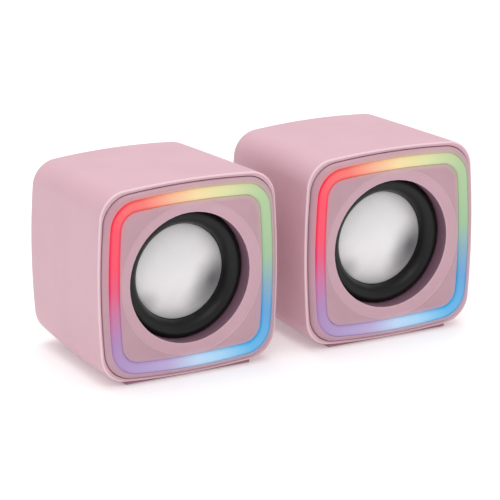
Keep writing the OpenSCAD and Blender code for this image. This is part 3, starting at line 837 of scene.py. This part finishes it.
@dataclass(frozen=True)
class LitFrame:
    """Bezel and opal light guide around the front of one speaker."""

    stand: Stand
    face: float = -2.2
    fillet: float = 2.2
    bezel_half: float = 38.15
    bezel_corner: float = 12.0
    pocket_half: float = 37.1
    back: float = 3.75
    shoulder: float = -0.45
    outer: Outline = front_outline(35.9, 11.4)
    inner: Outline = front_outline(31.6, 7.8)
    crown: float = 0.35
    seat: Outline = front_outline(36.05, 11.55)
    skirt: Outline = front_outline(36.95, 10.8)
    skirt_wall: float = 1.1
    crown_steps: int = 16

    def bezel(self) -> bpy.types.Object:
        """Builds the rounded frame outside the light guide."""
        skin = Skin()
        # Each ring's distance from the lit edge sets how much painted spill of the ring's light it gets
        skin.ring(self.seat.points(), self.shoulder, 0.0)
        skin.ring(self.seat.points(), self.face + 0.25, 0.0)
        skin.ring(self.seat.grown(0.05).points(), self.face + 0.08, 0.1)
        for step in range(13):
            turn = math.radians(84 - 7 * step)
            drop = self.fillet * (1 - math.cos(turn))
            outline = front_outline(self.bezel_half - drop, self.bezel_corner - drop / 2)
            skin.ring(outline.points(), self.face + self.fillet * (1 - math.sin(turn)), 0.15 + 0.27 * step)
        skin.ring(front_outline(self.bezel_half, self.bezel_corner).points(), self.back)
        pocket = front_outline(self.pocket_half, self.bezel_corner - 1.05)
        skin.ring(pocket.points(), self.back)
        skin.ring(pocket.points(), self.shoulder)
        return settle(skin.close(), self.stand, "bezel", MAUVE_ABS, ["front_bezel"])

    def light_guide(self) -> bpy.types.Object:
        """Builds the crowned light guide and the skirt that holds it behind the bezel."""
        skin = Skin()
        width = self.outer.half_w - self.inner.half_w
        for step in range(self.crown_steps + 1):
            share = step / self.crown_steps
            outline = front_outline(self.outer.half_w - width * share,
                                    self.outer.corner + (self.inner.corner - self.outer.corner) * share)
            rise = self.crown * (1 - abs(2 * share - 1) ** 2.4)
            skin.ring(outline.points(), self.face + 0.05 - rise, width * min(share, 1 - share))
        skin.ring(self.inner.points(), 0.4, 0.0)
        skirt_inside = self.skirt.grown(-self.skirt_wall)
        skin.ring(skirt_inside.points(), 0.4, 0.0)
        skin.ring(skirt_inside.points(), self.back - 1, 0.0)
        skin.ring(self.skirt.points(), self.back - 1, 0.0)
        skin.ring(self.skirt.points(), self.shoulder + 0.05, 0.0)
        skin.ring(self.outer.points(), self.shoulder + 0.05, 0.0)
        return settle(skin.close(), self.stand, "light_guide", OPAL_ACRYLIC, ["light_ring"])


@dataclass(frozen=True)
class FrontPanel:
    """Panel around the driver, with a shallow dish and a bore."""

    stand: Stand
    edge: Outline = front_outline(31.45, 7.65)
    face: float = -2.2
    dish_radius: float = 30.8
    opening: float = 26.3
    dish_floor: float = -0.95
    rim_step: float = 0.4
    flange: Outline = front_outline(38.15, 12.0)
    flange_front: float = 3.75
    flange_back: float = 6.25
    edge_round: float = 0.45

    def panel(self) -> bpy.types.Object:
        """Builds the panel from its flange over its rounded edge, across the dish and down the bore."""
        skin = Skin()
        lit = self.edge.points()
        skin.ring(self.flange.points(), self.flange_back)
        skin.ring(self.flange.points(), self.flange_front)
        # Each ring's distance from the lit edge sets how much painted spill of the ring's light it gets
        skin.ring(lit, self.flange_front, 0.0)
        for step in range(6):
            turn = math.radians(90) * step / 5
            rounded = self.edge.grown(-self.edge_round * (1 - math.cos(turn)))
            skin.ring(rounded.points(), self.face + self.edge_round * (1 - math.sin(turn)), 0.12 * step)
        near = self.edge.grown(-self.edge_round).points()
        rim = self.edge.circle(self.dish_radius)
        for share in (0.12, 0.3, 0.6, 1.0):
            between = [(a + (c - a) * share, b + (d - b) * share) for (a, b), (c, d) in zip(near, rim)]
            skin.ring(between, self.face, self.away(lit, between))
        for radius, y in self.dish():
            turned = self.edge.circle(radius)
            skin.ring(turned, y, self.away(lit, turned))
        piece = settle(skin.close(), self.stand, "front_panel", MAUVE_ABS, ["baffle"])
        for finish in (DISH_ABS, BORE_ABS, EDGE_ABS):
            piece.data.materials.append(finish.material)
        for face in piece.data.polygons:
            place = (face.center - self.stand.origin) / MM
            radius = math.hypot(place.x, place.z)
            face.material_index = self.zone(radius, place.y)
        return piece

    def zone(self, radius: float, y: float) -> int:
        """Tells which finish a face takes: panel, dish, bore or painted edge highlight.

        Args:
            radius: How far the face is from the driver's axis.
            y: Its depth.

        Returns:
            The number of the material slot.
        """
        if radius > self.dish_radius or y > self.flange_front + 2:
            return 0
        # Slot 3 carries the painted highlight on the dish's rim and the opening's edge
        if radius > self.dish_radius - 0.4 or abs(radius - self.opening - 0.25) < 0.2:
            return 3
        return 2 if y > self.dish_floor + 0.1 else 1

    def dish(self) -> list[Point]:
        """Gives the dish's and the bore's profile, from the dish's rim inwards, as (radius, depth)."""
        rim, bore = self.dish_radius, self.opening
        start, foot = self.face + self.rim_step, self.dish_floor
        slope = [(rim - 0.5 - share * (rim - 1.15 - bore), start + share * (foot - start)) for share in
                 (0.0, 0.25, 0.5, 0.75, 1.0)]
        return [(rim - 0.1, self.face + 0.03), (rim - 0.24, self.face + 0.12), (rim - 0.38, start - 0.05), *slope,
                (bore + 0.45, foot - 0.04), (bore + 0.25, foot - 0.02), (bore + 0.08, foot + 0.1), (bore, foot + 0.3),
                (bore, 1.5), (bore, self.flange_back)]

    def away(self, lit: Sequence[Point], ring: Sequence[Point]) -> list[float]:
        """Measures how far each point of a ring is from the lit edge.

        Args:
            lit: The lit edge's points.
            ring: The ring's points, at the same bearings.

        Returns:
            The distances in millimetres.
        """
        return [math.dist(a, b) for a, b in zip(lit, ring)]


@dataclass(frozen=True)
class Driver:
    """Moving face of one driver: rubber surround and satin dust cap."""

    stand: Stand
    opening: float = 26.3
    land: float = 29.7
    roll_end: float = 19.5
    rubber: float = 0.6
    roll_rise: float = 3.6
    land_y: float = 6.75
    cap_radius: float = 19.2
    cap_edge: float = 9.4
    cap_rise: float = 4.2
    cone_slope: float = 0.63
    former: float = 7.9
    sectors: int = 16
    sector_steps: int = 9
    lip_width: float = 1.4

    @property
    def cone_body(self) -> str:
        """The body of the moving cone."""
        return self.stand.name("cone_assembly")

    def cone_y(self, radius: float) -> float:
        """Gives the depth of the cone's front face at a radius."""
        return self.cap_edge + self.cone_slope * (self.cap_radius - radius)

    def surround_profile(self) -> list[Point]:
        """Gives the surround's closed profile: land, half roll and the lip on the cone."""
        inner_y = self.cone_y(self.roll_end) - self.rubber
        middle, half = (self.opening + self.roll_end) / 2, (self.opening - self.roll_end) / 2
        front, back = [], []
        for step in range(25):
            turn = math.pi * step / 24
            share = (1 - math.cos(turn)) / 2
            y = self.land_y + (inner_y - self.land_y) * share
            front.append((middle + half * math.cos(turn), y - self.roll_rise * math.sin(turn)))
            back.append((middle + (half - self.rubber) * math.cos(turn),
                         y + self.rubber - (self.roll_rise - self.rubber) * math.sin(turn)))
        lip = self.cap_radius + 0.1
        under = [point for point in reversed(back) if point[0] > self.cap_radius + self.lip_width]
        return [(self.land, self.land_y), *front, (lip, self.cone_y(lip) - self.rubber), (lip, self.cone_y(lip)),
                (self.cap_radius + self.lip_width, self.cone_y(self.cap_radius + self.lip_width)), *under,
                (self.land, self.land_y + self.rubber)]

    def sector(self, index: int) -> bmesh.types.BMesh:
        """Spins one closed sector of the surround.

        Args:
            index: Its number, from the right side and upwards.

        Returns:
            The sector.
        """
        arc = math.tau / self.sectors
        bm = bmesh.new()
        start = bm.faces.new([bm.verts.new((r, y, 0.0)) for r, y in self.surround_profile()])
        bmesh.ops.spin(bm, geom=[start, *start.verts, *start.edges], cent=(0, 0, 0), axis=(0, -1, 0), dvec=(0, 0, 0),
                       angle=arc, steps=self.sector_steps, use_merge=False, use_duplicate=False)
        bmesh.ops.rotate(bm, verts=bm.verts, cent=(0, 0, 0), matrix=Matrix.Rotation(-arc * index, 3, "Y"))
        return bm

    def surround(self) -> list[bpy.types.Object]:
        """Builds the surround in equal sectors, each a separate piece that rides on no body."""
        made = []
        for index in range(self.sectors):
            piece = settle(self.sector(index), self.stand, f"surround_{index + 1:02d}", BUTYL, ["surround"], None)
            self.cone_body
            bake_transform(piece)
            made.append(piece)
        return made

    def dust_cap(self) -> bpy.types.Object:
        """Builds the domed cap, a sheet half a millimetre thick."""
        ball = (self.cap_radius ** 2 + self.cap_rise ** 2) / (2 * self.cap_rise)
        reach = math.degrees(math.asin(self.cap_radius / ball))
        crest = self.cap_edge - self.cap_rise - 0.5
        outer = [(ball * math.sin(math.radians(a)), crest + ball * (1 - math.cos(math.radians(a))))
                 for a in [reach * i / 28 for i in range(29)]]
        under = [(r, y + 0.5) for r, y in reversed(outer)]
        bm = lathe([*outer, *under], 160)
        map_face(bm, self.cap_radius)
        return settle(bm, self.stand, "cap_dome", SILVER_LACQUER, ["dust_cap"], self.cone_body)

    def cone(self) -> bpy.types.Object:
        """Builds the paper cone behind the cap."""
        edge = self.cap_radius + self.lip_width
        profile = [(edge, self.cone_y(edge)), (14.0, self.cone_y(14.0)), (self.former, self.cone_y(self.former)),
                   (self.former, self.cone_y(self.former) + 0.5), (14.0, self.cone_y(14.0) + 0.5),
                   (edge, self.cone_y(edge) + 0.5)]
        return settle(lathe(profile, 96), self.stand, "paper_cone", FINISH_OF["paper_cone"], ["cone"], self.cone_body)


@dataclass(frozen=True)
class Rear:
    """Rear cover of one speaker with its screws and its sockets."""

    stand: Stand
    edge_round: float = 0.25

    def build(self) -> list[bpy.types.Object]:
        """Copies the CAD's rear parts with softened edges."""
        parts = (("rear_panel", "rear_cover", REAR_ABS, self.edge_round),
                 ("rear_screws", "rear_fixings", FINISH_OF["blackened_steel"], 0.08),
                 ("link_socket", "link_jack", FINISH_OF["socket_nylon"], 0.1))
        return [soften(self.stand.name(source), self.stand.name(part), finish, self.stand.body, width)
                for source, part, finish, width in parts]


@dataclass(frozen=True)
class Controls:
    """Volume knob, light button and sockets at the rear of the main speaker."""

    stand: Stand

    def build(self) -> list[bpy.types.Object]:
        """Copies the CAD's controls with softened edges."""
        body = self.stand.body
        return [soften("volume_knob", "volume_dial", KNOB_ABS, "volume_control", 0.22, 3),
                soften("light_button", "light_key", BUTTON_ABS, "light_button", 0.25, 3),
                soften("audio_socket", "audio_jack", FINISH_OF["socket_nylon"], body, 0.1),
                soften("power_socket", "power_jack", FINISH_OF["plated_steel"], body, 0.08)]


@dataclass(frozen=True)
class Insides:
    """CAD parts that stay as they are, with a finish for each."""

    def dress(self) -> int:
        """Gives every CAD node a procedural finish by its slot.

        Returns:
            How many nodes were dressed.
        """
        dressed = 0
        for name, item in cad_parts.items():
            for place in item.material_slots:
                finish = FINISH_OF.get(place.material.name.split(".")[0])
                if finish:
                    place.material = finish.material
                    dressed += 1
        return dressed


@dataclass(frozen=True)
class Studio:
    """Floor, soft lights and camera."""

    azimuth: float = -29.63
    elevation: float = 16.94
    distance: float = 1207.8
    lens: float = 224.6
    aim_right: float = 23.11
    aim_up: float = 10.69
    aim_depth: float = -0.76
    floor_half: float = 5.0
    floor_drop: float = 0.05
    sky: float = 0.68

    def camera(self, target: Stand) -> None:
        """Sets the camera.

        Args:
            target: The speaker that the view is measured from.
        """
        turn, lift = math.radians(self.azimuth), math.radians(self.elevation)
        back = Vector((math.sin(turn) * math.cos(lift), -math.cos(turn) * math.cos(lift), math.sin(lift)))
        right = Vector((math.cos(turn), math.sin(turn), 0))
        up = back.cross(right)
        aim = target.origin + MM * (Vector((0, self.aim_depth, 0)) + self.aim_right * right + self.aim_up * up)
        camera = bpy.data.objects.new("camera", bpy.data.cameras.new("camera"))
        camera.data.lens = self.lens
        camera.data.sensor_width = 36
        rotation = Matrix((right, up, back)).transposed().to_4x4()
        camera.matrix_world = Matrix.Translation(aim + MM * self.distance * back) @ rotation
        bpy.context.scene.collection.objects.link(camera)
        bpy.context.scene.camera = camera

    def floor(self) -> None:
        """Lays a wide pale floor."""
        bm = bmesh.new()
        bmesh.ops.create_grid(bm, x_segments=2, y_segments=2, size=self.floor_half,
                              matrix=Matrix.Translation((0, 0, -self.floor_drop * MM)))
        mesh = bpy.data.meshes.new("floor")
        bm.to_mesh(mesh)
        bm.free()
        mesh.materials.append(PAPER.material)
        floor = bpy.data.objects.new("floor", mesh)
        bpy.context.scene.collection.objects.link(floor)

    def light(self, name: str, place: Sequence[float], aim: Sequence[float], size: float, power: float) -> None:
        """Adds a soft square light.

        Args:
            name: Its name.
            place: Where it hangs, in metres.
            aim: Where it points.
            size: Its width in metres.
            power: Its power in watts.
        """
        lamp = bpy.data.lights.new(name, "AREA")
        lamp.shape = "SQUARE"
        lamp.size = size
        lamp.energy = power
        item = bpy.data.objects.new(name, lamp)
        item.location = place
        item.rotation_euler = (Vector(place) - Vector(aim)).to_track_quat("Z", "Y").to_euler()
        bpy.context.scene.collection.objects.link(item)

    def build(self, target: Stand) -> None:
        """Sets up the camera, the floor, the lights and the sky.

        Args:
            target: The speaker that the view is measured from.
        """
        self.camera(target)
        self.floor()
        self.light("key", (-0.5, -0.9, 1.3), (0, 0, 0.03), 0.9, 5.0)
        self.light("fill", (1.1, -0.9, 0.5), (0, 0, 0.04), 0.8, 0.8)
        self.light("top", (0.1, 0.3, 1.4), (0, 0, 0.05), 1.2, 9.5)
        world = bpy.data.worlds.new("sky")
        bpy.context.scene.world = world
        world.use_nodes = True
        world.node_tree.nodes["Background"].inputs["Color"].default_value = linear("#ffffff")
        world.node_tree.nodes["Background"].inputs["Strength"].default_value = self.sky
        bpy.context.scene.view_settings.view_transform = "Standard"


def main() -> None:
    """Builds the studio and both speakers."""
    logging.basicConfig(level=logging.INFO, format="%(name)s: %(message)s")
    stands = [Stand.of(side) for side in Side]
    Studio().build(stands[0])
    LOG.info("%d CAD nodes dressed", Insides().dress())
    for stand in stands:
        cabinet, lit, driver = Cabinet(stand), LitFrame(stand), Driver(stand)
        cabinet.shell()
        cabinet.feet()
        lit.bezel()
        lit.light_guide()
        FrontPanel(stand).panel()
        driver.surround()
        driver.dust_cap()
        driver.cone()
        Rear(stand).build()
    Controls(stands[1]).build()


if __name__ == "__main__":
    main()
